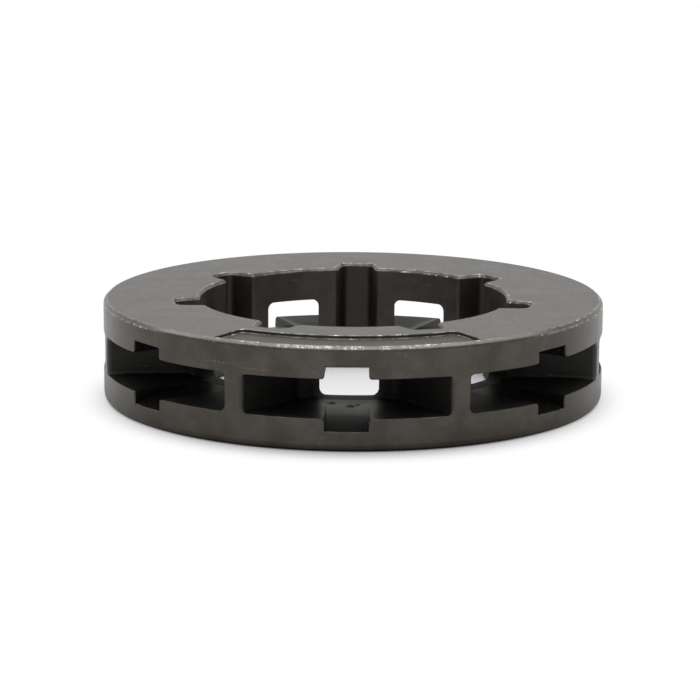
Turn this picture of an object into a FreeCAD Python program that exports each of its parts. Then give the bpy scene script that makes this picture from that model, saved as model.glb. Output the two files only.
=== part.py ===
import FreeCAD, Part
from enum import IntEnum
import math
import os
import Sketcher

# Driving dimensions: millimetres, degrees for angles, a plain count of teeth
SIZES = {
    # Ring
    "rim_diameter": 31.0,
    "overall_width": 6.25,
    "edge_chamfer": 0.22,
    "bore_diameter": 19.05,
    "bore_chamfer": 0.15,
    # Windows for the drive links, and the posts between them that drive the chain
    "tooth_count": 7,
    "slot_width": 2.34,
    "hub_wall": 0.85,
    "window_corner_radius": 0.8,
    "post_width": 1.2,
    "post_taper": 12.0,
    "post_edge_radius": 0.35,
    # Clearing hole from each window through the hub into the bore: width where it meets the bore
    "hub_hole_width": 3.7,
    "hub_hole_sill": 0.1,
    "hub_hole_flare": 25.0,
    "hub_hole_corner_radius": 0.45,
    # Notch across the middle of each window, cut into both rims: depth and lips where it meets the rim
    "notch_width": 2.58,
    "notch_depth": 0.75,
    "notch_lip_radius": 0.30,
    "notch_lip_rise": 0.07,
    # Spline grooves in the bore, one behind each post
    "spline_depth": 1.6,
    "spline_floor_width": 1.8,
    "spline_flank_angle": 12.0,
    "spline_floor_radius": 0.45,
    "spline_mouth_radius": 0.25,
    # Shallow bare recess in the top face
    "recess_depth": 0.25,
    "recess_land": 1.1,
    "recess_lip": 0.15,
    "recess_angle": 62.5,
    "recess_corner_radius": 0.5,
}

# Sheet expressions that several features share
RIM_RADIUS = "Sizes.rim_diameter / 2"
BORE_RADIUS = "Sizes.bore_diameter / 2"
HUB_RADIUS = "Sizes.bore_diameter / 2 + Sizes.hub_wall"
SPLINE_RADIUS = "Sizes.bore_diameter / 2 + Sizes.spline_depth"
CLEAR_RADIUS = "Sizes.rim_diameter / 2 + Sizes.post_width"
RECESS_OUTER_RADIUS = "Sizes.rim_diameter / 2 - Sizes.edge_chamfer - Sizes.recess_lip"
RECESS_INNER_RADIUS = SPLINE_RADIUS + " + Sizes.recess_land"
MID_HEIGHT = "Sizes.overall_width / 2"
SLOT_FLOOR = "(Sizes.overall_width - Sizes.slot_width) / 2"
SLOT_CEILING = "(Sizes.overall_width + Sizes.slot_width) / 2"
HALF_PITCH = "180 / Sizes.tooth_count"

# The same lengths as numbers, to draw each sketch close to its final shape
rim_radius = SIZES["rim_diameter"] / 2
bore_radius = SIZES["bore_diameter"] / 2
hub_radius = bore_radius + SIZES["hub_wall"]
spline_radius = bore_radius + SIZES["spline_depth"]
clear_radius = rim_radius + SIZES["post_width"]
recess_outer_radius = rim_radius - SIZES["edge_chamfer"] - SIZES["recess_lip"]
recess_inner_radius = spline_radius + SIZES["recess_land"]
half_pitch = 180 / SIZES["tooth_count"]
slot_floor = (SIZES["overall_width"] - SIZES["slot_width"]) / 2
slot_ceiling = (SIZES["overall_width"] + SIZES["slot_width"]) / 2

# Places of the notch's sections, as shares of the way from the hub to the rim: the notch's depth
# and the radius of its lips grow with the square of the share
NOTCH_SHARES = (0.15, 0.6, 1.05)

# Places of the hub hole's two sections, in thicknesses of the hub wall from the bore
HOLE_STEPS = (-1, 1.5)

TOLERANCE = 1e-4
UP = FreeCAD.Vector(0, 0, 1)


class At(IntEnum):
    """Sketcher's numbers for the points of a curve."""

    START = 1
    END = 2
    CENTRE = 3


class Axis(IntEnum):
    """Sketcher's numbers for a sketch's own axes."""

    X = -1
    Y = -2


ORIGIN = (Axis.X, At.START)

doc = FreeCAD.newDocument("RimSprocket")
sheet = doc.addObject("Spreadsheet::Sheet", "Sizes")
for row, (name, value) in enumerate(SIZES.items(), start=1):
    sheet.set("A%d" % row, name)
    sheet.set("B%d" % row, str(value))
    sheet.setAlias("B%d" % row, name)
doc.recompute()

body = doc.addObject("PartDesign::Body", "Body")
body.Label = "rim_sprocket"


def origin_feature(role):
    """Plane or axis of the body's own origin."""
    return next(item for item in body.Origin.OriginFeatures if item.Role == role)


def new_sketch(name, plane, height=None, turn=None):
    """Sketch on an origin plane, raised and turned by sheet expressions."""
    sketch = body.newObject("Sketcher::SketchObject", name)
    sketch.AttachmentSupport = [(origin_feature(plane), "")]
    sketch.MapMode = "FlatFace"
    if height:
        sketch.setExpression("AttachmentOffset.Base.z", height)
    if turn:
        sketch.AttachmentOffset = FreeCAD.Placement(FreeCAD.Vector(), FreeCAD.Rotation(UP, half_pitch))
        sketch.setExpression("AttachmentOffset.Rotation.Angle", turn)
    return sketch


def polar(radius, angle):
    """Point at an angle in degrees from the front centre line, which runs along minus Y."""
    return radius * math.sin(math.radians(angle)), -radius * math.cos(math.radians(angle))


def add_line(sketch, start, end):
    """Straight line between two points."""
    return sketch.addGeometry(Part.LineSegment(FreeCAD.Vector(*start), FreeCAD.Vector(*end)), False)


def add_arc(sketch, centre, radius, first, last):
    """Arc, anticlockwise between two angles in degrees from the sketch's X axis."""
    circle = Part.Circle(FreeCAD.Vector(*centre), UP, radius)
    return sketch.addGeometry(Part.ArcOfCircle(circle, math.radians(first), math.radians(last)), False)


def add_front_arc(sketch, name, radius, half_angle, expression):
    """Arc round the shaft, symmetric about the front centre line."""
    arc = add_arc(sketch, (0, 0), radius, 270 - half_angle, 270 + half_angle)
    hold(sketch, "Coincident", arc, At.CENTRE, *ORIGIN)
    drive(sketch, name, "Radius", [arc], radius, expression)
    return arc


def add_polygon(sketch, corners):
    """Closed chain of lines through the corners."""
    lines = [add_line(sketch, *ends) for ends in zip(corners, corners[1:] + corners[:1])]
    for line, following in zip(lines, lines[1:] + lines[:1]):
        hold(sketch, "Coincident", line, At.END, following, At.START)
    return lines


def hold(sketch, kind, *where):
    """Geometric constraint."""
    sketch.addConstraint(Sketcher.Constraint(kind, *where))


def drive(sketch, name, kind, where, value, expression):
    """Dimension that starts at a value and is bound to the sheet."""
    index = sketch.addConstraint(Sketcher.Constraint(kind, *where, value))
    sketch.renameConstraint(index, name)
    sketch.setExpression("Constraints." + name, expression)


def drive_angle(sketch, name, line, degrees, expression):
    """Direction of a line from the sketch's X axis, bound to the sheet."""
    drive(sketch, name, "Angle", [line], math.radians(degrees), expression)


def cut(sketch, name, length, side="One side", away=False):
    """Pocket of a sketch, which must take material away."""
    doc.recompute()
    before = body.Shape.Volume
    pocket = body.newObject("PartDesign::Pocket", name)
    pocket.Profile = sketch
    pocket.SideType = side
    pocket.Reversed = away
    pocket.setExpression("Length", length)
    doc.recompute()
    if body.Shape.Volume > before - TOLERANCE:
        raise ValueError(name + " cuts nothing")
    return pocket


def cut_through(sections, name):
    """Straight-sided cut from section to section, which must take material away."""
    doc.recompute()
    before = body.Shape.Volume
    loft = body.newObject("PartDesign::SubtractiveLoft", name)
    loft.Profile = sections[0]
    loft.Sections = sections[1:]
    loft.Ruled = True
    doc.recompute()
    if body.Shape.Volume > before - TOLERANCE:
        raise ValueError(name + " cuts nothing")
    return loft


def add_hole_section(step):
    """Rounded section of the hub's clearing hole, at a number of wall thicknesses from the bore."""
    spread = 2 * step * SIZES["hub_wall"] * math.tan(math.radians(SIZES["hub_hole_flare"]))
    side_x = (SIZES["hub_hole_width"] + spread) / 2
    radius = SIZES["hub_hole_corner_radius"]
    inner_x = side_x - radius
    floor_z = slot_floor + SIZES["hub_hole_sill"]
    ceiling_z = slot_ceiling - SIZES["hub_hole_sill"]
    low_z = floor_z + radius
    high_z = ceiling_z - radius
    place = "%s + %g * Sizes.hub_wall" % (BORE_RADIUS, step)
    sketch = new_sketch("hole_section_%d" % HOLE_STEPS.index(step), "XZ_Plane", height=place)
    outline = [
        add_line(sketch, (-inner_x, floor_z), (inner_x, floor_z)),
        add_arc(sketch, (inner_x, low_z), radius, 270, 360),
        add_line(sketch, (side_x, low_z), (side_x, high_z)),
        add_arc(sketch, (inner_x, high_z), radius, 0, 90),
        add_line(sketch, (inner_x, ceiling_z), (-inner_x, ceiling_z)),
        add_arc(sketch, (-inner_x, high_z), radius, 90, 180),
        add_line(sketch, (-side_x, high_z), (-side_x, low_z)),
        add_arc(sketch, (-inner_x, low_z), radius, 180, 270),
    ]
    for piece, following in zip(outline, outline[1:] + outline[:1]):
        hold(sketch, "Tangent", piece, At.END, following, At.START)
    floor, first_corner, right, second_corner, ceiling, third_corner, left, fourth_corner = outline
    for line in (floor, ceiling):
        hold(sketch, "Horizontal", line)
    for line in (right, left):
        hold(sketch, "Vertical", line)
    for corner in (second_corner, third_corner, fourth_corner):
        hold(sketch, "Equal", first_corner, corner)
    half = "Sizes.hub_hole_width / 2 + %g * Sizes.hub_wall * tan(Sizes.hub_hole_flare * 1 deg)" % step
    drive(sketch, "corner_radius", "Radius", [first_corner], radius, "Sizes.hub_hole_corner_radius")
    drive(sketch, "right_side", "DistanceX", [*ORIGIN, right, At.START], side_x, half)
    drive(sketch, "left_side", "DistanceX", [left, At.START, *ORIGIN], side_x, half)
    drive(
        sketch, "floor_height", "DistanceY", [*ORIGIN, floor, At.START],
        floor_z, SLOT_FLOOR + " + Sizes.hub_hole_sill",
    )
    drive(
        sketch, "ceiling_height", "DistanceY", [*ORIGIN, ceiling, At.START],
        ceiling_z, SLOT_CEILING + " - Sizes.hub_hole_sill",
    )
    return sketch


def add_notch_section(share):
    """Section across the notch, at a share of the way from the hub to the rim."""
    grown = share ** 2
    side_x = SIZES["notch_width"] / 2
    depth = grown * SIZES["notch_depth"]
    lip = grown * SIZES["notch_lip_radius"]
    rise = grown * SIZES["notch_lip_rise"]
    place = "%s + %g * (%s - (%s))" % (HUB_RADIUS, share, RIM_RADIUS, HUB_RADIUS)
    sketch = new_sketch("notch_section_%d" % (100 * share), "XZ_Plane", height=place)
    levels = {-1: slot_floor + rise, 1: slot_ceiling - rise}
    lips = {}
    sides = {}
    for across, up, first_angle in ((1, -1, 90), (1, 1, 180), (-1, 1, 270), (-1, -1, 0)):
        waist_end, side_end = (At.START, At.END) if across * up < 0 else (At.END, At.START)
        level = levels[up]
        arc = add_arc(sketch, (across * (side_x + lip), level + up * lip), lip, first_angle, first_angle + 90)
        foot = level + up * (rise + depth)
        side = add_line(sketch, (across * side_x, level + up * lip), (across * side_x, foot))
        hold(sketch, "Vertical", arc, At.CENTRE, arc, waist_end)
        hold(sketch, "Horizontal", arc, At.CENTRE, arc, side_end)
        hold(sketch, "Coincident", arc, side_end, side, At.START)
        hold(sketch, "Vertical", side)
        lips[across, up] = (arc, waist_end)
        sides[across, up] = side
    for across in (-1, 1):
        waist = add_line(sketch, (across * (side_x + lip), levels[-1]), (across * (side_x + lip), levels[1]))
        hold(sketch, "Coincident", *lips[across, -1], waist, At.START)
        hold(sketch, "Coincident", *lips[across, 1], waist, At.END)
    hold(sketch, "Vertical", waist)
    for up in (-1, 1):
        height = levels[up] + up * (rise + depth)
        end = add_line(sketch, (-side_x, height), (side_x, height))
        hold(sketch, "Coincident", sides[-1, up], At.END, end, At.START)
        hold(sketch, "Coincident", sides[1, up], At.END, end, At.END)
        hold(sketch, "Symmetric", end, At.START, end, At.END, Axis.Y)
        hold(sketch, "Horizontal", *lips[-1, up], *lips[1, up])
    drive(sketch, "notch_width", "DistanceX", [end, At.START, end, At.END], 2 * side_x, "Sizes.notch_width")
    first_lip = lips[1, -1][0]
    for arc, _ in lips.values():
        if arc != first_lip:
            hold(sketch, "Equal", first_lip, arc)
    drive(sketch, "lip_radius", "Radius", [first_lip], lip, "%g * Sizes.notch_lip_radius" % grown)
    raised = "%g * Sizes.notch_lip_rise" % grown
    drive(sketch, "waist_foot", "DistanceY", [*ORIGIN, *lips[1, -1]], levels[-1], SLOT_FLOOR + " + " + raised)
    drive(sketch, "waist_head", "DistanceY", [*ORIGIN, *lips[1, 1]], levels[1], SLOT_CEILING + " - " + raised)
    deeper = "%g * (Sizes.notch_depth + Sizes.notch_lip_rise)" % grown
    drive(sketch, "depth_below", "DistanceY", [sides[1, -1], At.END, *lips[1, -1]], depth + rise, deeper)
    drive(sketch, "depth_above", "DistanceY", [*lips[1, 1], sides[1, 1], At.END], depth + rise, deeper)
    return sketch


def repeat_round_shaft(name, cuts):
    """The cuts again at every tooth pitch."""
    pattern = body.newObject("PartDesign::PolarPattern", name)
    pattern.Originals = cuts
    pattern.Axis = (origin_feature("Z_Axis"), [""])
    pattern.Angle = 360
    pattern.setExpression("Occurrences", "Sizes.tooth_count")
    body.Tip = pattern
    doc.recompute()


def dress(kind, name, size, chosen):
    """Fillet or chamfer on every edge of the body that is chosen."""
    base = body.Tip
    names = ["Edge%d" % (i + 1) for i, edge in enumerate(base.Shape.Edges) if chosen(edge)]
    if not names:
        raise ValueError(name + " finds no edge")
    feature = body.newObject("PartDesign::" + kind, name)
    feature.Base = (base, names)
    feature.setExpression("Radius" if kind == "Fillet" else "Size", size)
    body.Tip = feature
    doc.recompute()


def near(first, second):
    """True for two lengths that agree."""
    return abs(first - second) < TOLERANCE


def middle(edge):
    """Point half way along an edge."""
    return edge.valueAt((edge.FirstParameter + edge.LastParameter) / 2)


def is_circle(edge, radius):
    """True for a whole circle of that radius."""
    return isinstance(edge.Curve, Part.Circle) and edge.isClosed() and near(edge.Curve.Radius, radius)


def is_upright(edge, radius):
    """True for a straight edge along the shaft, at that distance from it."""
    if not isinstance(edge.Curve, Part.Line) or not near(abs(edge.Curve.Direction.z), 1):
        return False
    return near(math.hypot(middle(edge).x, middle(edge).y), radius)


def is_bore_corner(edge):
    """True for an edge between the splined bore and either end face."""
    point = middle(edge)
    level = near(point.z, 0) or near(point.z, SIZES["overall_width"])
    return level and math.hypot(point.x, point.y) < spline_radius + TOLERANCE


# Ring with chamfered outer corners
ring_sketch = new_sketch("ring_sketch", "XY_Plane")
for name, radius, expression in (
    ("rim_radius", rim_radius, RIM_RADIUS),
    ("bore_radius", bore_radius, BORE_RADIUS),
):
    circle = ring_sketch.addGeometry(Part.Circle(FreeCAD.Vector(), UP, radius), False)
    hold(ring_sketch, "Coincident", circle, At.CENTRE, *ORIGIN)
    drive(ring_sketch, name, "Radius", [circle], radius, expression)
ring = body.newObject("PartDesign::Pad", "ring")
ring.Profile = ring_sketch
ring.setExpression("Length", "Sizes.overall_width")
doc.recompute()
dress("Chamfer", "rim_corners", "Sizes.edge_chamfer", lambda edge: is_circle(edge, rim_radius))

# Spline groove, drawn on the front centre line and turned half a pitch to lie behind a post
groove_height = 2 * SIZES["spline_depth"]
groove_floor = SIZES["spline_floor_width"] / 2
groove_spread = groove_height * math.tan(math.radians(SIZES["spline_flank_angle"]))
groove_sketch = new_sketch("groove_sketch", "XY_Plane", turn=HALF_PITCH)
floor, right, mouth, left = add_polygon(
    groove_sketch,
    [
        (-groove_floor, -spline_radius),
        (groove_floor, -spline_radius),
        (groove_floor + groove_spread, groove_height - spline_radius),
        (-groove_floor - groove_spread, groove_height - spline_radius),
    ],
)
hold(groove_sketch, "Symmetric", floor, At.START, floor, At.END, Axis.Y)
hold(groove_sketch, "Symmetric", mouth, At.START, mouth, At.END, Axis.Y)
drive(
    groove_sketch, "floor_width", "DistanceX", [floor, At.START, floor, At.END],
    2 * groove_floor, "Sizes.spline_floor_width",
)
drive(groove_sketch, "floor_radius", "DistanceY", [floor, At.END, *ORIGIN], spline_radius, SPLINE_RADIUS)
drive(
    groove_sketch, "groove_height", "DistanceY", [right, At.START, right, At.END],
    groove_height, "2 * Sizes.spline_depth",
)
drive_angle(
    groove_sketch, "flank_direction", right,
    90 - SIZES["spline_flank_angle"], "90 - Sizes.spline_flank_angle",
)
spline_groove = cut(groove_sketch, "spline_groove", "Sizes.overall_width", away=True)
repeat_round_shaft("spline_grooves", [spline_groove])

# Window between two posts, as deep as the hub: each flank leaves the rim half a post's width
# from the post's centre line and leans by the taper, so its line passes the shaft at an offset
taper = math.radians(SIZES["post_taper"])
flank_lean = half_pitch + SIZES["post_taper"]
flank_offset = rim_radius * math.sin(taper) + SIZES["post_width"] / 2 * math.cos(taper)
hub_half_angle = flank_lean - math.degrees(math.asin(flank_offset / hub_radius))
hub_x, hub_y = polar(hub_radius, hub_half_angle)
clear_x = hub_x + (clear_radius + hub_y) * math.tan(math.radians(flank_lean))
window_sketch = new_sketch("window_sketch", "XY_Plane", height=MID_HEIGHT)
hub_arc = add_front_arc(window_sketch, "hub_radius", hub_radius, hub_half_angle, HUB_RADIUS)
left = add_line(window_sketch, (-clear_x, -clear_radius), (-hub_x, hub_y))
right = add_line(window_sketch, (clear_x, -clear_radius), (hub_x, hub_y))
mouth = add_line(window_sketch, (-clear_x, -clear_radius), (clear_x, -clear_radius))
hold(window_sketch, "Coincident", hub_arc, At.START, left, At.END)
hold(window_sketch, "Coincident", hub_arc, At.END, right, At.END)
hold(window_sketch, "Coincident", mouth, At.START, left, At.START)
hold(window_sketch, "Coincident", mouth, At.END, right, At.START)
hold(window_sketch, "Symmetric", mouth, At.START, mouth, At.END, Axis.Y)
hold(window_sketch, "Equal", left, right)
drive(window_sketch, "clear_radius", "DistanceY", [mouth, At.END, *ORIGIN], clear_radius, CLEAR_RADIUS)
drive_angle(
    window_sketch, "flank_direction", right,
    90 + flank_lean, "90 + %s + Sizes.post_taper" % HALF_PITCH,
)
drive(
    window_sketch, "flank_offset", "Distance", [*ORIGIN, right], flank_offset,
    "Sizes.rim_diameter / 2 * sin(Sizes.post_taper * 1 deg)"
    " + Sizes.post_width / 2 * cos(Sizes.post_taper * 1 deg)",
)
window = cut(window_sketch, "window", "Sizes.slot_width", side="Symmetric")

# Notch across the window, cut into both rims: level with the slot near the hub, it falls away
# ever more steeply to its full depth at the rim, and its lips widen as it deepens
notch_sections = [add_notch_section(share) for share in NOTCH_SHARES]
notch = cut_through(notch_sections, "notch")
repeat_round_shaft("windows", [window, notch])

# Rounded inner corners of the windows
slot_width = SIZES["slot_width"]
dress(
    "Fillet", "window_corners", "Sizes.window_corner_radius",
    lambda edge: is_upright(edge, hub_radius) and near(edge.Length, slot_width),
)

# Clearing hole with rounded corners, from the bore through the hub into the window: it has a low
# sill over the slot's floor and under its ceiling, and its sides flare outwards
hub_hole = cut_through([add_hole_section(step) for step in HOLE_STEPS], "hub_hole")
repeat_round_shaft("hub_holes", [hub_hole])

# Rounded corners of the posts and splines
groove_corner = math.hypot(groove_floor, spline_radius)
dress(
    "Fillet", "post_edges", "Sizes.post_edge_radius",
    lambda edge: is_upright(edge, rim_radius) and near(edge.Length, slot_width),
)
dress("Fillet", "spline_floors", "Sizes.spline_floor_radius", lambda edge: is_upright(edge, groove_corner))
dress(
    "Fillet", "spline_mouths", "Sizes.spline_mouth_radius",
    lambda edge: is_upright(edge, bore_radius) and edge.Length > slot_width,
)
dress("Chamfer", "bore_corners", "Sizes.bore_chamfer", is_bore_corner)

# Recess in the top face, over the front window and inside the rim's chamfer
half_span = SIZES["recess_angle"] / 2
recess_sketch = new_sketch("recess_sketch", "XY_Plane", height="Sizes.overall_width")
inner_arc = add_front_arc(
    recess_sketch, "inner_radius", recess_inner_radius, half_span, RECESS_INNER_RADIUS
)
outer_arc = add_front_arc(
    recess_sketch, "outer_radius", recess_outer_radius, half_span, RECESS_OUTER_RADIUS
)
for side, corner, name in ((-1, At.START, "left"), (1, At.END, "right")):
    line = add_line(
        recess_sketch,
        polar(recess_outer_radius, side * half_span),
        polar(recess_inner_radius, side * half_span),
    )
    hold(recess_sketch, "Coincident", outer_arc, corner, line, At.START)
    hold(recess_sketch, "Coincident", inner_arc, corner, line, At.END)
    hold(recess_sketch, "PointOnObject", *ORIGIN, line)
    drive_angle(
        recess_sketch, name + "_direction", line,
        90 + side * half_span, "90 + %d * Sizes.recess_angle / 2" % side,
    )
cut(recess_sketch, "recess", "Sizes.recess_depth")
dress(
    "Fillet", "recess_corners", "Sizes.recess_corner_radius",
    lambda edge: is_upright(edge, recess_inner_radius) and near(edge.Length, SIZES["recess_depth"]),
)

for item in doc.Objects:
    if "Invalid" in item.State or "Error" in item.State:
        raise RuntimeError(item.Label + " failed: " + ", ".join(item.State))
if body.Shape.isNull() or not body.Shape.isValid() or len(body.Shape.Solids) != 1:
    raise RuntimeError(body.Label + " is not one valid solid")

os.makedirs("parts", exist_ok=True)
body.Shape.exportStep("parts/%s.step" % body.Label)
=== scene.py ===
import math

import bmesh
import bpy
from mathutils import Euler, Matrix, Vector


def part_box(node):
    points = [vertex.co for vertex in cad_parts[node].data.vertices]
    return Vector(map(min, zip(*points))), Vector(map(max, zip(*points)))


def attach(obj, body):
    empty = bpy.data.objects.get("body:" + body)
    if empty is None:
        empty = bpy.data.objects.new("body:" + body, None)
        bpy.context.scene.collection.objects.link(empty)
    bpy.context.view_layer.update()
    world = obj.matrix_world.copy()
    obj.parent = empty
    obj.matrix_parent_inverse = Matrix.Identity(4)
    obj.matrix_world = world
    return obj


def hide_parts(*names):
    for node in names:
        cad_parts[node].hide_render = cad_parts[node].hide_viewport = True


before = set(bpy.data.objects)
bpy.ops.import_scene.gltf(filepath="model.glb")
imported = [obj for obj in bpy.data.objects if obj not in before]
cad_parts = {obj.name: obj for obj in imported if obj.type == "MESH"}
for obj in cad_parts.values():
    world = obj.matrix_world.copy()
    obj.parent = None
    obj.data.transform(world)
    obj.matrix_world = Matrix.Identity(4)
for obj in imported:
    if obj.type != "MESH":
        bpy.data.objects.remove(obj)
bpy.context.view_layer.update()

MM = 0.001
IMAGE_PX = 700

# Camera, as fitted to the photograph
SENSOR_MM = 36.0
FOCAL_PX = 3311.0
CAMERA_DISTANCE = 207.3 * MM
CAMERA_ELEVATION = math.radians(12.73)
CAMERA_AZIMUTH = math.radians(1.3)
CAMERA_ROLL = math.radians(0.33)
CAMERA_NEAREST = 0.01
CAMERA_FURTHEST = 20
FIT_POINT = Vector((0, 0, -0.10 * MM))
FIT_POINT_PX = (352.68, 395.20)

# Rounding that tumbling left on the sharp edges
EDGE_ROUND = 0.06 * MM
EDGE_STEPS = 3
LOW_EDGE_ROUND = 0.22 * MM
CORNER_ROUND = 0.25 * MM
CORNER_STEPS = 5
SHARP_ANGLE = math.radians(22)
FLAT_ANGLE = math.radians(0.2)
WELD_DISTANCE = 0.0005 * MM

# The ring, as the frame gives it, in millimetres
low_corner, high_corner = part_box("rim_sprocket")
RIM_RADIUS = (high_corner[0] - low_corner[0]) / 2 / MM
TOP = high_corner[2] / MM
TEETH = 7
PITCH = 2 * math.pi / TEETH

# Parts of the ring, in millimetres: hub wall, spline grooves behind the posts, windows between the rims
BORE_RADIUS = 9.53
HUB_RADIUS = 10.375
GROOVE_RADIUS = 11.3
GROOVE_HALF_WIDTH = 1.45
HUB_HOLE_HALF_WIDTH = 2.4
SLOT_FLOOR = 1.955
SLOT_CEILING = TOP - SLOT_FLOOR
SILL = 0.1
NOTCH_START = 11.14
NOTCH_HALF_WIDTH = 1.35
WINDOW_LOW = 1.05
WINDOW_HIGH = TOP - WINDOW_LOW
POST_START = HUB_RADIUS + 0.3
POST_FOOT = 1.2
POST_EDGE_RADIUS = 15.12
POST_EDGE_HALF_WIDTH = 0.9
END_ZONE = 0.4

# Each slot's floor or ceiling, with the way from it into the window
SLOTS = ((SLOT_FLOOR, 1), (SLOT_CEILING, -1))

# How near a point counts as being on a level, a slot, a radius or the hub's wall, in millimetres
ON_LEVEL = 0.005
ON_SLOT = 0.003
ON_RADIUS = 0.02
NEAR_SLOT = 0.02
NEAR_HUB = 0.05
NEAR_RIM = 0.2

# The ramp of a notch starts a small step below the slot, near NOTCH_START, and is raised to RAMP_DEPTH
RAMP_STEP = (0.005, 0.03)
RAMP_REACH = 0.15
RAMP_DEPTH = 0.0008
RAMP_END = 0.01
SILL_LEFT = 0.02

# Limits for the z part of a face's normal, on a ramp and on an upright wall, and for that wall's rise
RAMP_LEAN = (0.9, 0.99995)
UPRIGHT_LEAN = 0.1
LEAST_RISE = 0.1

# Cosines above which two normals count as one, and a normal as pointing straight away from the shaft
SAME_WAY = 0.99999
RADIAL = 0.9995

# Radii between which window walls are cast, and those over which the end of a rounded corner turns flush
CAST_RADII = (BORE_RADIUS + 0.03, RIM_RADIUS - 0.05)
CORNER_END_RADIUS = RIM_RADIUS - 0.002
FLUSH_START = RIM_RADIUS - 0.15
FLUSH_LENGTH = 0.14

# Where the steel's regions begin and end, in millimetres: radii, levels, and distances to either side
TRACK_SIDE = (2.1, 1.2)
RECESS_RADII = (12.0, 15.2)
RECESS_LEVELS = (TOP - 0.32, TOP - 0.17)
BORE_RADII = (11.6, 11.0)
BORE_LEVELS = (TOP - 0.02, TOP - 0.12)
END_FACE_LEVELS = (TOP - 0.06, TOP - 0.02)
CHAMFER_RADII = (RIM_RADIUS - 0.28, RIM_RADIUS - 0.18)
CHAMFER_LEVELS = (TOP - 0.27, TOP - 0.2)
UNDER_RADII = (RIM_RADIUS - 0.18, RIM_RADIUS - 0.10)
UNDER_LEVELS = (TOP - 0.30, TOP - 0.158)
WINDOW_EDGE_LEVELS = (0.7, TOP - 0.7)
FAR_SIDE = (10.3, 12.6)

# The steel's colours, from its oxide to the bare metal
OXIDE_DARK = (0.0613, 0.0543, 0.0455, 1)
OXIDE_LIGHT = (0.0873, 0.0794, 0.0697, 1)
OXIDE_BROWN = (0.092, 0.075, 0.055, 1)
# BORE_SHADE is painted shade for the inside of the bore.
BORE_SHADE = (0.030, 0.027, 0.023, 1)
# The cast skin is darker than the oxide, and painted darker still as the shade inside the windows; the
# third colour is painted shade towards the hub.
CAST_DARK = (0.019, 0.0187, 0.0174, 1)
CAST_LIGHT = (0.027, 0.0265, 0.0243, 1)
CAST_PAINTED_SHADE = (0.004, 0.004, 0.0037, 1)
RECESS_DARK = (0.063, 0.0585, 0.0505, 1)
RECESS_LIGHT = (0.112, 0.106, 0.0935, 1)
STAIN = (0.045, 0.040, 0.033, 1)
SCUFF = (0.17, 0.155, 0.13, 1)
SCRATCH = (0.20, 0.185, 0.16, 1)
SPOT = (0.006, 0.0058, 0.005, 1)
EDGE_SHADE = (0.020, 0.018, 0.015, 1)
# BARE_METAL is the worn steel, laid on the chamfer also as a painted highlight.
BARE_METAL = (0.58, 0.565, 0.53, 1)
PIT = (0.012, 0.011, 0.010, 1)

# Tint of reflections at a low angle: everywhere, in the windows, and on the track before each hub hole
WHITE = (1, 1, 1, 1)
CAST_TINT = (0.40, 0.40, 0.39, 1)
TRACK_TINT = (0.58, 0.57, 0.55, 1)

# Scratches on the wall, by angle in degrees and height, and dark spots by the front hole, by place and size
SCRATCHES = ((-29.0, 4.87), (-20.4, 4.66))
SCRATCH_HALF_ANGLE = 3.0
SPOTS = (((-1.0, -11.25, 1.95), 0.34), ((0.15, -11.75, 1.9), 0.38), ((0.55, -11.5, 1.9), 0.22))

# Floor: its colour, and the rings within which the camera and the part's reflections see its shadow
FLOOR_COLOUR = (0.80, 0.80, 0.81, 1)
FLOOR_HALF_SIDE = 3.0
FLOOR_LEVEL = -0.01 * MM
SHADOW_STRETCH = (1.10, 1.02, 1.0)
SHADOW_RING = (15.1 * MM, 19.2 * MM)
MIRROR_STRETCH = (1.10, 0.42, 1.0)
MIRROR_RING = (18.0 * MM, 30.0 * MM)

# Light: a sweep from the dim front to the white back, and a softbox
SWEEP_TURN = (-0.25, 0.45)
SWEEP_STRENGTH = (0.18, 1.15)
SOFTBOX_PLACE = Vector((0, 0.02, 0.5))
SOFTBOX_SIZE = 0.55
SOFTBOX_POWER = 2.1


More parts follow.
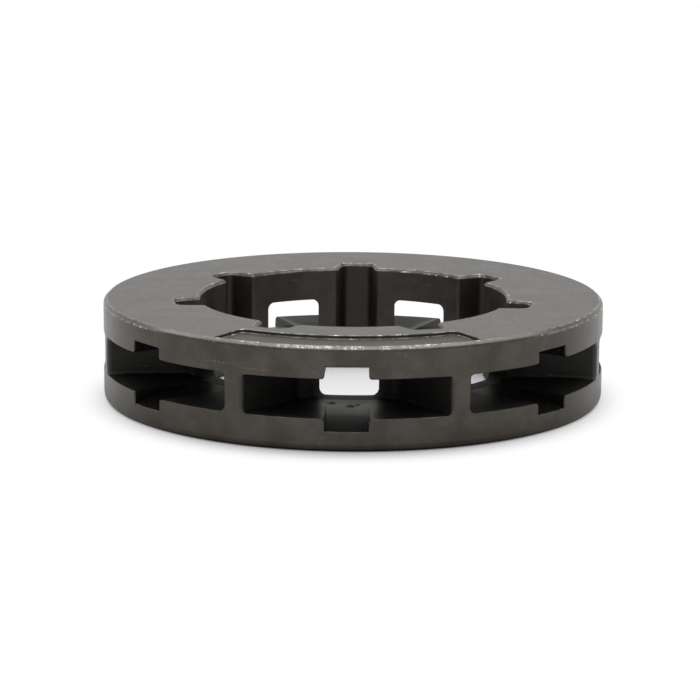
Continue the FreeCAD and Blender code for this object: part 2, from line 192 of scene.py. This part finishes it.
class Nodes:
    """Shader nodes of one tree, made and linked in one call."""

    def __init__(self, tree):
        self.tree = tree
        tree.nodes.clear()

    def put(self, socket, value):
        if isinstance(value, bpy.types.NodeSocket):
            self.tree.links.new(value, socket)
        else:
            socket.default_value = value

    def new(self, kind, inputs=None, **settings):
        node = self.tree.nodes.new(kind)
        for name, value in settings.items():
            setattr(node, name, value)
        for key, value in (inputs or {}).items():
            self.put(node.inputs[key], value)
        return node

    def math(self, operation, *values):
        node = self.new("ShaderNodeMath", operation=operation)
        for socket, value in zip(node.inputs, values):
            self.put(socket, value)
        return node.outputs[0]

    def vector(self, operation, inputs):
        """A vector, or a number where the operation gives a length or a distance."""
        node = self.new("ShaderNodeVectorMath", inputs, operation=operation)
        return node.outputs["Value" if operation in ("LENGTH", "DISTANCE") else "Vector"]

    def product(self, first, *others):
        for other in others:
            first = self.math("MULTIPLY", first, other)
        return first

    def without(self, mask, share=1.0):
        """1 outside a mask, less by a share inside it."""
        return self.math("MULTIPLY_ADD", mask, -share, 1.0)

    def ramp(self, value, low, high, to_low=0.0, to_high=1.0):
        return self.new(
            "ShaderNodeMapRange",
            {"Value": value, "From Min": low, "From Max": high, "To Min": to_low, "To Max": to_high},
            interpolation_type="SMOOTHSTEP",
        ).outputs["Result"]

    def between(self, value, low, high, soft):
        """1 where a value lies between two limits, with soft ends."""
        return self.product(
            self.ramp(value, low - soft, low + soft),
            self.ramp(value, high + soft, high - soft),
        )

    def noise(self, place, scale, detail, rough):
        return self.new(
            "ShaderNodeTexNoise",
            {"Vector": place, "Scale": scale, "Detail": detail, "Roughness": rough},
        ).outputs["Fac"]

    def attribute(self, name):
        return self.new("ShaderNodeAttribute", attribute_name=name).outputs["Fac"]

    def mix(self, share, first, second):
        node = self.new("ShaderNodeMix", data_type="RGBA")
        for socket, value in zip((node.inputs[0], node.inputs[6], node.inputs[7]), (share, first, second)):
            self.put(socket, value)
        return node.outputs[2]

    def sent_on(self, ray):
        """1 for a ray that comes from metal or glass."""
        return self.math("MAXIMUM", ray["Is Glossy Ray"], ray["Is Transmission Ray"])


class Steel(Nodes):
    """Nodes of the dark-oxide steel, whose masks follow the part's own coordinates in millimetres."""

    def __init__(self, tree):
        super().__init__(tree)
        place = self.new("ShaderNodeTexCoord").outputs["Object"]
        self.place = self.vector("SCALE", {0: place, 3: 1 / MM})
        self.x, self.y, self.z = self.new("ShaderNodeSeparateXYZ", {0: self.place}).outputs
        level = self.new("ShaderNodeCombineXYZ", {0: self.x, 1: self.y}).outputs[0]
        self.radius = self.vector("LENGTH", {0: level})
        self.angle = self.math("ARCTAN2", self.x, self.math("MULTIPLY", self.y, -1.0))
        self.mottle = self.noise(self.place, 0.55, 5.0, 0.6)
        self.blotch = self.noise(self.place, 1.6, 4.0, 0.55)
        self.grain = self.noise(self.place, 7.0, 3.0, 0.6)
        self.fine = self.noise(self.place, 22.0, 2.0, 0.5)
        self.patchy = self.ramp(self.blotch, 0.38, 0.60)
        self.add_regions()
        self.add_wear()
        self.add_blemishes()
        self.add_placed_marks()

    def add_regions(self):
        """Masks of the cast windows and recess, and of the machined bore, top face and chamfer."""
        self.windows = self.attribute("cast_skin")
        self.hub_hole = self.attribute("hub_hole")
        turn = self.math("WRAP", self.angle, PITCH / 2, -PITCH / 2)
        aside = self.math("ABSOLUTE", self.product(self.radius, self.math("SINE", turn)))
        self.track = self.product(self.windows, self.ramp(aside, *TRACK_SIDE))
        recess_ring = self.between(self.radius, *RECESS_RADII, 0.05)
        self.recess = self.product(recess_ring, self.between(self.z, *RECESS_LEVELS, 0.03))
        self.bore = self.product(self.ramp(self.radius, *BORE_RADII), self.ramp(self.z, *BORE_LEVELS))
        self.end_face = self.ramp(self.z, *END_FACE_LEVELS)
        chamfer_ring = self.ramp(self.radius, *CHAMFER_RADII)
        self.chamfer = self.product(chamfer_ring, self.ramp(self.z, *CHAMFER_LEVELS))

    def add_wear(self):
        """Bare metal on the handled edges and the chamfer, spread round the chamfer as a painted highlight,
        and the painted shade below it and round the windows.
        """
        edge = self.attribute("worn_edge")
        across = self.math("ABSOLUTE", self.x)
        far = self.ramp(across, *FAR_SIDE)

        self.window_edge = self.product(edge, self.between(self.z, *WINDOW_EDGE_LEVELS, 0.1))
        outside = self.product(self.without(self.windows), self.ramp(self.z, 0.3, 0.6))
        outside = self.product(outside, self.without(self.window_edge, 0.8))
        glints = self.ramp(self.noise(self.place, 2.6, 2.0, 0.6), 0.60, 0.68)
        glints = self.product(glints, self.ramp(self.z, TOP - 0.5, TOP - 0.35, 0.0, 0.6))
        rubbing = self.math("ADD", self.math("MULTIPLY_ADD", self.patchy, 0.22, 0.03), glints)
        rubbed = self.product(edge, outside, rubbing)

        specks = self.ramp(self.noise(self.place, 7.5, 3.0, 0.7), 0.50, 0.60)
        # The chamfer's bare metal is real wear, and its spread round the ring is a painted highlight:
        # specks stronger at the front and back, the even part thinner at the front, right, back and far
        # sides.
        front = self.product(self.ramp(self.y, -12.0, -14.6), self.ramp(across, 7.0, 2.0, 0.3, 1.0))
        bright = self.math("MULTIPLY_ADD", front, 0.42, self.ramp(self.y, 0.0, 6.0, 0.04, 0.30))
        even = self.product(
            self.ramp(self.y, -11.0, -14.6, 0.40, 0.09),
            self.ramp(self.x, 5.0, 11.0, 1.0, 0.65),
            self.ramp(self.y, 0.0, 6.0, 1.0, 0.3),
            self.without(far, 0.85),
        )
        polish_and_highlight = self.math("MULTIPLY_ADD", self.product(specks, self.patchy), bright, even)
        chamfer_wear_and_highlight = self.product(self.chamfer, polish_and_highlight)

        below_chamfer = self.between(self.z, *UNDER_LEVELS, 0.02)
        self.under = self.product(self.ramp(self.radius, *UNDER_RADII), below_chamfer, self.without(far))
        # The wear mask holds the rubbed edges and the chamfer's partly painted highlight, dimmed over the
        # painted shade below the chamfer.
        self.wear = self.product(self.math("MAXIMUM", rubbed, chamfer_wear_and_highlight), self.without(self.under, 0.85))

    def add_blemishes(self):
        """Scuffs round the rim, and stains and pits all over."""
        along = self.vector("MULTIPLY", {0: self.place, 1: (0.5, 0.5, 3.0)})
        smear = self.noise(along, 1.1, 4.0, 0.6)
        self.scuff = self.product(self.ramp(smear, 0.60, 0.74), self.ramp(self.grain, 0.45, 0.6))
        self.stain = self.ramp(self.noise(self.place, 0.9, 4.0, 0.7), 0.62, 0.74)
        swirl = self.new("ShaderNodeTexNoise", {"Vector": self.place, "Scale": 4.0, "Detail": 2.0})
        moved = self.vector("MULTIPLY_ADD", {0: swirl.outputs["Color"], 1: (0.4, 0.4, 0.4), 2: self.place})
        self.wavy = self.vector("SUBTRACT", {0: moved, 1: (0.2, 0.2, 0.2)})
        cells = self.new("ShaderNodeTexVoronoi", {"Vector": self.wavy, "Scale": 0.8, "Randomness": 1.0})
        draw = self.new("ShaderNodeSeparateColor", {0: cells.outputs["Color"]}).outputs[0]
        near = self.ramp(cells.outputs["Distance"], 0.085, 0.035)
        self.pit = self.product(near, self.ramp(draw, 0.62, 0.66))

    def add_placed_marks(self):
        """The scratches and the dark spots that the photograph shows."""
        self.scratch = 0.0
        wander = self.math("MULTIPLY_ADD", self.blotch, 0.25, self.z)
        broken = self.ramp(self.grain, 0.40, 0.58)
        for turned, height in SCRATCHES:
            first = math.radians(turned - SCRATCH_HALF_ANGLE)
            last = math.radians(turned + SCRATCH_HALF_ANGLE)
            line = self.between(wander, height + 0.10, height + 0.16, 0.04)
            mark = self.product(self.between(self.angle, first, last, 0.03), line, broken)
            self.scratch = self.math("MAXIMUM", self.scratch, mark)
        self.spots = 0.0
        for middle, size in SPOTS:
            near = self.vector("DISTANCE", {0: self.wavy, 1: middle})
            self.spots = self.math("MAXIMUM", self.spots, self.ramp(near, size, 0.4 * size))

    def colour(self):
        """Oxide, cast skin and recess floor, with painted shade in the bore and the windows, and the marks,
        painted shade and painted highlight laid over them in turn.
        """
        grainy = self.ramp(self.grain, 0.35, 0.65)
        oxide = self.mix(self.ramp(self.mottle, 0.3, 0.7), OXIDE_DARK, OXIDE_LIGHT)
        oxide = self.mix(self.ramp(self.blotch, 0.55, 0.75, 0.0, 0.27), oxide, OXIDE_BROWN)
        # Painted shade inside the bore, stronger further from the shaft, towards the grooves.
        shaded = self.product(self.bore, self.ramp(self.radius, 9.6, 10.6, 0.32, 0.65))
        oxide = self.mix(shaded, oxide, BORE_SHADE)
        # Painted shade deep in the windows, towards the hub, but not in the hub holes.
        deep = self.product(self.ramp(self.radius, 11.6, 10.7, 0.0, 0.5), self.without(self.hub_hole))
        cast = self.mix(deep, self.mix(grainy, CAST_DARK, CAST_LIGHT), CAST_PAINTED_SHADE)
        colour = self.mix(self.windows, oxide, cast)
        colour = self.mix(self.recess, colour, self.mix(grainy, RECESS_DARK, RECESS_LIGHT))
        # Stains, scuffs, scratches, spots and pits are marks of the steel; the window edges and the strip
        # under the chamfer get painted shade, and the wear holds the chamfer's painted highlight.
        for mask, share, tone in (
            (self.stain, 0.45, STAIN),
            (self.scuff, 0.5, SCUFF),
            (self.scratch, 0.5, SCRATCH),
            (self.spots, 0.65, SPOT),
            (self.window_edge, 0.45, EDGE_SHADE),
            (self.under, 0.42, EDGE_SHADE),
            (self.wear, 1.0, BARE_METAL),
            (self.pit, 0.8, PIT),
        ):
            colour = self.mix(self.math("MULTIPLY", mask, share), colour, tone)
        return colour

    def roughness(self):
        """Satin with some grain, plus what each region adds to it."""
        rough = self.math(
            "ADD",
            self.ramp(self.mottle, 0.3, 0.7, 0.31, 0.38),
            self.ramp(self.grain, 0.3, 0.7, -0.03, 0.03),
        )
        for mask, added in (
            (self.windows, 0.12),
            (self.track, -0.15),
            (self.hub_hole, 0.35),
            (self.end_face, 0.042),
            (self.recess, 0.27),
            (self.bore, 0.07),
            (self.spots, 0.3),
            (self.wear, -0.08),
        ):
            rough = self.math("MULTIPLY_ADD", mask, added, rough)
        return rough

    def metallic(self):
        """Less than 1 where scale covers the metal: in the windows and the bore."""
        scale_in_windows = self.math("MULTIPLY", self.windows, 0.4)
        scale_in_bore = self.math("MULTIPLY", self.bore, 0.25)
        return self.without(self.math("MAXIMUM", scale_in_windows, scale_in_bore))

    def low_angle_tint(self):
        """Darker reflections at a low angle in the windows, less so on the track before each hub hole."""
        return self.mix(self.track, self.mix(self.windows, WHITE, CAST_TINT), TRACK_TINT)

    def relief(self):
        """Normals of the grain, coarser in the recess and calmer in the windows, and of the pits."""
        height = self.math("MULTIPLY_ADD", self.grain, 0.6, self.math("MULTIPLY", self.fine, 0.4))
        coarse = self.math("MULTIPLY_ADD", self.recess, 0.8, self.without(self.windows, 0.5))
        height = self.math("SUBTRACT", self.product(height, coarse), self.math("MULTIPLY", self.pit, 2.5))
        return self.new(
            "ShaderNodeBump",
            {"Height": height, "Strength": 0.25, "Distance": 0.02 * MM},
        ).outputs["Normal"]


def dark_steel():
    """Dark-oxide steel: satin where it was machined, rough and darker as cast, bright where it is worn;
    painted shade in the bore, the windows and under the chamfer, and a painted highlight on the chamfer.
    """
    material = bpy.data.materials.new("dark_steel")
    material.use_nodes = True
    steel = Steel(material.node_tree)
    shader = steel.new(
        "ShaderNodeBsdfPrincipled",
        {
            "Base Color": steel.colour(),
            "Roughness": steel.roughness(),
            "Metallic": steel.metallic(),
            "Normal": steel.relief(),
            "Specular Tint": steel.low_angle_tint(),
        },
    )
    steel.new("ShaderNodeOutputMaterial", {"Surface": shader.outputs[0]})
    return material


def beside_post(point):
    """Distance of a point from the middle of the nearest post, measured round the shaft."""
    turn = math.atan2(point.x, -point.y) % PITCH - PITCH / 2
    return abs(point.xy.length * math.sin(turn))


def beside_window(point):
    """Distance of a point from the middle of the nearest window, measured round the shaft."""
    turn = (math.atan2(point.x, -point.y) + PITCH / 2) % PITCH - PITCH / 2
    return abs(point.xy.length * math.sin(turn))


def outward(point):
    """Direction from the shaft to a point."""
    return Vector((point.x, point.y, 0)).normalized()


def turned_side(face, exact):
    """1 or -1 for a face of a cylinder round the shaft, seen from outside or inside, and 0 for others."""
    normals = [corner[exact] for corner in face.loops]
    is_flat = min(normals[0].dot(normal) for normal in normals) > SAME_WAY
    if is_flat:
        return 0
    lean = [corner[exact].dot(outward(corner.vert.co)) for corner in face.loops]
    if min(lean) > RADIAL:
        return 1
    return -1 if max(lean) < -RADIAL else 0


def meet_slot(vert):
    """Bring the start of a notch's ramp, and the outer edge of a hub hole's sill, level with the slot."""
    place = vert.co / MM
    radius = place.xy.length
    aside = beside_window(place)
    at_ramp = abs(radius - NOTCH_START) < RAMP_REACH and aside < NOTCH_HALF_WIDTH
    at_sill = abs(radius - HUB_RADIUS) <= ON_RADIUS and aside <= HUB_HOLE_HALF_WIDTH
    for slot, up in SLOTS:
        if at_ramp and RAMP_STEP[0] < up * (slot - place.z) < RAMP_STEP[1]:
            vert.co.z = (slot - up * RAMP_DEPTH) * MM
        if at_sill and abs(place.z - slot - up * SILL) < ON_LEVEL:
            vert.co.z = (slot + up * SILL_LEFT * SILL) * MM


def welded(mesh):
    """Copy of the solid's mesh, welded along its faces' seams, that keeps each corner's exact normal."""
    solid = bmesh.new()
    solid.from_mesh(mesh)
    exact = solid.loops.layers.float_vector.new("exact_normal")
    turned = solid.faces.layers.int.new("turned")
    corners = (corner for face in solid.faces for corner in face.loops)
    for corner, normal in zip(corners, mesh.corner_normals):
        corner[exact] = normal.vector
    for face in solid.faces:
        face[turned] = turned_side(face, exact)
    bmesh.ops.remove_doubles(solid, verts=solid.verts, dist=WELD_DISTANCE)
    for vert in solid.verts:
        meet_slot(vert)
    return solid, exact, turned


def window_corners(solid, exact):
    """Edges where the posts stand on the slots: ends, wall normals there and the way up the wall."""
    corners = []
    for edge in solid.edges:
        middle = (edge.verts[0].co + edge.verts[1].co) / 2 / MM
        if middle.xy.length < POST_START or len(edge.link_faces) != 2:
            continue
        for slot, up in SLOTS:
            if max(abs(vert.co.z / MM - slot) for vert in edge.verts) > ON_SLOT:
                continue
            for wall in edge.link_faces:
                rise = up * (wall.calc_center_median().z / MM - slot)
                if abs(wall.normal.z) < UPRIGHT_LEAN and rise > LEAST_RISE:
                    ends = [corner for corner in wall.loops if corner.vert in edge.verts]
                    corners.append(([(end.vert.co.copy(), end[exact].copy()) for end in ends], up))
    return corners


def corner_point(place, wall, up, step):
    """Point and normal of one step of a rounded corner; at the rim the normal turns flush with it."""
    turn = math.pi / 2 * step / CORNER_STEPS
    rise = up * CORNER_ROUND * (1 - math.cos(turn))
    point = place + wall * CORNER_ROUND * (1 - math.sin(turn)) + Vector((0, 0, rise))
    normal = wall * math.sin(turn) + Vector((0, 0, up * math.cos(turn)))
    away = outward(point)
    point.xy *= min(1.0, CORNER_END_RADIUS * MM / point.xy.length)
    flush = min(max((point.xy.length / MM - FLUSH_START) / FLUSH_LENGTH, 0.0), 1.0)
    return point, normal.lerp(away, flush).normalized()


def round_window_corner(solid, exact, ends, up):
    """Strip that rounds the corner between a post and a slot, cut off at the rim."""
    rows = []
    for place, wall in ends:
        row = [corner_point(place, wall, up, step) for step in range(CORNER_STEPS + 1)]
        rows.append([(solid.verts.new(point), normal) for point, normal in row])
    for step in range(CORNER_STEPS):
        ring = [rows[0][step], rows[1][step], rows[1][step + 1], rows[0][step + 1]]
        face = solid.faces.new([vert for vert, normal in ring])
        face.normal_update()
        if face.normal.dot(sum((normal for vert, normal in ring), Vector())) < 0:
            face.normal_flip()
        shown = dict(ring)
        for corner in face.loops:
            corner[exact] = shown[corner.vert]


def turn_at(edge, exact):
    """Angle between the two smooth faces that meet at an edge."""
    sides = []
    for face in edge.link_faces:
        ends = [corner[exact] for corner in face.loops if corner.vert in edge.verts]
        sides.append((ends[0] + ends[1]).normalized())
    return sides[0].angle(sides[1], 0.0)


def smooth_gentle_turns(solid, exact, sharp):
    """One normal for all corners of a vertex that no sharp edge parts."""
    for vert in solid.verts:
        left = set(vert.link_loops)
        while left:
            group = [left.pop()]
            for corner in group:
                for edge in (corner.edge, corner.link_loop_prev.edge):
                    if edge in sharp:
                        continue
                    for face in edge.link_faces:
                        for other in face.loops:
                            if other.vert is vert and other in left:
                                left.discard(other)
                                group.append(other)
            total = Vector()
            for corner in group:
                total += corner[exact] * corner.calc_angle()
            for corner in group:
                corner[exact] = total.normalized()


def is_in_hub(point):
    """True for a point, in millimetres, within the hub's wall."""
    return point.xy.length < HUB_RADIUS - NEAR_HUB


def is_cast(point):
    """True for a point, in millimetres, on the walls of a window or of its hole through the hub."""
    radius = point.xy.length
    if not WINDOW_LOW < point.z < WINDOW_HIGH or not CAST_RADII[0] < radius < CAST_RADII[1]:
        return False
    if is_in_hub(point):
        return beside_window(point) < HUB_HOLE_HALF_WIDTH
    return radius > GROOVE_RADIUS or beside_post(point) > GROOVE_HALF_WIDTH


def cast_share(point, corner, exact):
    """1 on cast walls, 0 on machined ones, and in between round the edges of the posts."""
    in_slot = SLOT_FLOOR - NEAR_SLOT < point.z < SLOT_CEILING + NEAR_SLOT
    if in_slot and point.xy.length > POST_EDGE_RADIUS and beside_post(point) < POST_EDGE_HALF_WIDTH:
        return 1 - max(0.0, corner[exact].dot(outward(corner.vert.co))) ** 2
    return is_cast(point)


def is_low_edge(edge):
    """True for an edge where the wall of the rim turns under to the floor."""
    on_rim = (RIM_RADIUS - ON_RADIUS) * MM
    return all(vert.co.z < END_ZONE * MM and vert.co.xy.length > on_rim for vert in edge.verts)


def runs_out(face, corner):
    """True at the inner end of a notch, where its ramp meets the slot."""
    level = corner.vert.co.z / MM
    meets = min(abs(level - slot) for slot, up in SLOTS) < RAMP_END
    return meets and RAMP_LEAN[0] < abs(face.normal.z) < RAMP_LEAN[1]


def is_handled(edge):
    """True for an edge on the rim or by an end face, and not one deep inside a window or the bore."""
    middle = (edge.verts[0].co + edge.verts[1].co) / 2 / MM
    if middle.z < END_ZONE or middle.z > TOP - END_ZONE:
        return True
    return middle.xy.length > RIM_RADIUS - NEAR_RIM and beside_post(middle) > POST_FOOT


def round_edges(solid, edges, size):
    """Round some edges, and return the new faces."""
    rounding = bmesh.ops.bevel(
        solid,
        geom=edges,
        offset=size,
        offset_type="OFFSET",
        segments=EDGE_STEPS,
        profile=0.5,
        affect="EDGES",
        clamp_overlap=False,
        loop_slide=True,
        miter_outer="ARC",
    )
    return set(rounding["faces"])


def round_solid(solid, exact):
    """Round the handled edges and the windows' corners. Returns the edges' new faces, all and rubbed."""
    pairs = [edge for edge in solid.edges if len(edge.link_faces) == 2]
    sharp = {edge for edge in pairs if turn_at(edge, exact) > SHARP_ANGLE}
    smooth_gentle_turns(solid, exact, sharp)
    flat = [edge for edge in pairs if edge not in sharp]
    bmesh.ops.dissolve_limit(
        solid,
        angle_limit=FLAT_ANGLE,
        use_dissolve_boundaries=False,
        verts=[],
        edges=flat,
    )
    window_ends = window_corners(solid, exact)
    sharp = [edge for edge in sharp if edge.is_valid and is_handled(edge)]
    low = [edge for edge in sharp if is_low_edge(edge)]
    rest = [edge for edge in sharp if not is_low_edge(edge)]
    rubbed = round_edges(solid, rest, EDGE_ROUND)
    rounded = rubbed | round_edges(solid, low, LOW_EDGE_ROUND)
    for ends, up in window_ends:
        round_window_corner(solid, exact, ends, up)
    for vert in solid.verts:
        vert.co.xy *= min(1.0, RIM_RADIUS * MM / vert.co.xy.length)
        vert.co.z = min(max(vert.co.z, 0.0), TOP * MM)
    return rounded, rubbed


def shown_normal(corner, middle, rounded, exact, turned):
    """Normal of a corner: exact on the solid's faces, and turning from one to the next on rounded edges."""
    face = corner.face
    if face in rounded:
        flats = [other[exact] for other in corner.vert.link_loops if other.face not in rounded]
        return max(flats, key=face.normal.dot).normalized() if flats else corner.vert.normal.copy()
    if face[turned]:
        corner[exact] = face[turned] * outward(corner.vert.co)
    elif is_cast(middle) and runs_out(face, corner):
        corner[exact] = Vector((0, 0, round(face.normal.z)))
    return corner[exact].normalized()


def rounded_sprocket(cad):
    """The solid again, with its sharp edges rounded and its worn edges, cast walls and hub holes marked."""
    solid, exact, turned = welded(cad.data)
    rounded, rubbed = round_solid(solid, exact)
    wear = solid.loops.layers.float.new("worn_edge")
    cast = solid.loops.layers.float.new("cast_skin")
    hole = solid.loops.layers.float.new("hub_hole")
    solid.normal_update()
    normals = []
    for face in solid.faces:
        face.smooth = True
        middle = face.calc_center_median() / MM
        for corner in face.loops:
            corner[cast] = cast_share(middle, corner, exact)
            corner[hole] = is_cast(middle) and is_in_hub(middle)
            corner[wear] = face in rubbed
            normals.append(shown_normal(corner, middle, rounded, exact, turned))
    mesh = bpy.data.meshes.new("rim_sprocket_rounded")
    solid.to_mesh(mesh)
    solid.free()
    mesh.normals_split_custom_set(normals)
    piece = bpy.data.objects.new("rim_sprocket_rounded", mesh)
    bpy.context.scene.collection.objects.link(piece)
    return piece


def place_camera():
    """Camera where the photograph was taken from."""
    across = Vector((math.sin(CAMERA_AZIMUTH), -math.cos(CAMERA_AZIMUTH), 0))
    toward = across * math.cos(CAMERA_ELEVATION) + Vector((0, 0, math.sin(CAMERA_ELEVATION)))
    data = bpy.data.cameras.new("camera")
    data.sensor_width = SENSOR_MM
    data.lens = FOCAL_PX * SENSOR_MM / IMAGE_PX
    data.clip_start = CAMERA_NEAREST
    data.clip_end = CAMERA_FURTHEST
    camera = bpy.data.objects.new("camera", data)
    bpy.context.scene.collection.objects.link(camera)
    aim = (-toward).to_track_quat("-Z", "Y").to_matrix()
    roll = Matrix.Rotation(CAMERA_ROLL, 3, "Z")
    right = (FIT_POINT_PX[0] - IMAGE_PX / 2) / FOCAL_PX
    down = (FIT_POINT_PX[1] - IMAGE_PX / 2) / FOCAL_PX
    turn = Euler((math.atan(down), math.atan(right), 0)).to_matrix()
    place = Matrix.Translation(FIT_POINT + toward * CAMERA_DISTANCE)
    camera.matrix_world = place @ (aim @ roll @ turn).to_4x4()
    bpy.context.scene.camera = camera


def floor_white():
    """White that keeps the shadow near the part and runs out to plain white, also in reflections."""
    material = bpy.data.materials.new("floor_white")
    material.use_nodes = True
    n = Nodes(material.node_tree)
    place = n.new("ShaderNodeTexCoord").outputs["Object"]
    ray = n.new("ShaderNodeLightPath").outputs
    share = 0.0
    for seen, stretch, ring in (
        (ray["Is Camera Ray"], SHADOW_STRETCH, SHADOW_RING),
        (n.sent_on(ray), MIRROR_STRETCH, MIRROR_RING),
    ):
        away = n.vector("LENGTH", {0: n.vector("MULTIPLY", {0: place, 1: stretch})})
        share = n.math("ADD", share, n.product(seen, n.ramp(away, *ring)))
    diffuse = n.new("ShaderNodeBsdfDiffuse", {"Color": FLOOR_COLOUR})
    plain = n.new("ShaderNodeEmission", {"Color": WHITE, "Strength": 1.0})
    both = n.new("ShaderNodeMixShader", {0: share, 1: diffuse.outputs[0], 2: plain.outputs[0]})
    n.new("ShaderNodeOutputMaterial", {"Surface": both.outputs[0]})
    return material


def make_floor():
    """Wide floor just below the part."""
    signs = ((-1, -1), (1, -1), (1, 1), (-1, 1))
    corners = [(x * FLOOR_HALF_SIDE, y * FLOOR_HALF_SIDE, FLOOR_LEVEL) for x, y in signs]
    mesh = bpy.data.meshes.new("floor")
    mesh.from_pydata(corners, [], [(0, 1, 2, 3)])
    mesh.materials.append(floor_white())
    floor = bpy.data.objects.new("floor", mesh)
    bpy.context.scene.collection.objects.link(floor)


def make_world():
    """White to the camera and in reflections; as light, a white sweep behind and a dim room in front."""
    world = bpy.data.worlds.new("studio")
    bpy.context.scene.world = world
    world.use_nodes = True
    n = Nodes(world.node_tree)
    direction = n.new("ShaderNodeTexCoord").outputs["Generated"]
    parts = n.new("ShaderNodeSeparateXYZ", {0: direction}).outputs
    sweep = n.ramp(parts["Y"], *SWEEP_TURN, *SWEEP_STRENGTH)
    light = n.new("ShaderNodeBackground", {"Color": WHITE, "Strength": sweep})
    plain = n.new("ShaderNodeBackground", {"Color": WHITE, "Strength": 1.0})
    ray = n.new("ShaderNodeLightPath").outputs
    seen = n.math("MAXIMUM", ray["Is Camera Ray"], n.sent_on(ray))
    both = n.new("ShaderNodeMixShader", {0: seen, 1: light.outputs[0], 2: plain.outputs[0]})
    n.new("ShaderNodeOutputWorld", {"Surface": both.outputs[0]})


def add_softbox():
    """Square area lamp over the part, aimed at its origin."""
    data = bpy.data.lights.new("overhead", "AREA")
    data.shape = "SQUARE"
    data.size = SOFTBOX_SIZE
    data.energy = SOFTBOX_POWER
    lamp = bpy.data.objects.new("overhead", data)
    bpy.context.scene.collection.objects.link(lamp)
    lamp.location = SOFTBOX_PLACE
    lamp.rotation_euler = (-SOFTBOX_PLACE).to_track_quat("-Z", "Y").to_euler()


steel = dark_steel()
sprocket = rounded_sprocket(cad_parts["rim_sprocket"])
sprocket.data.materials.append(steel)
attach(sprocket, "root")
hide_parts("rim_sprocket")

make_floor()
make_world()
add_softbox()
place_camera()
bpy.context.scene.view_settings.view_transform = "Standard"
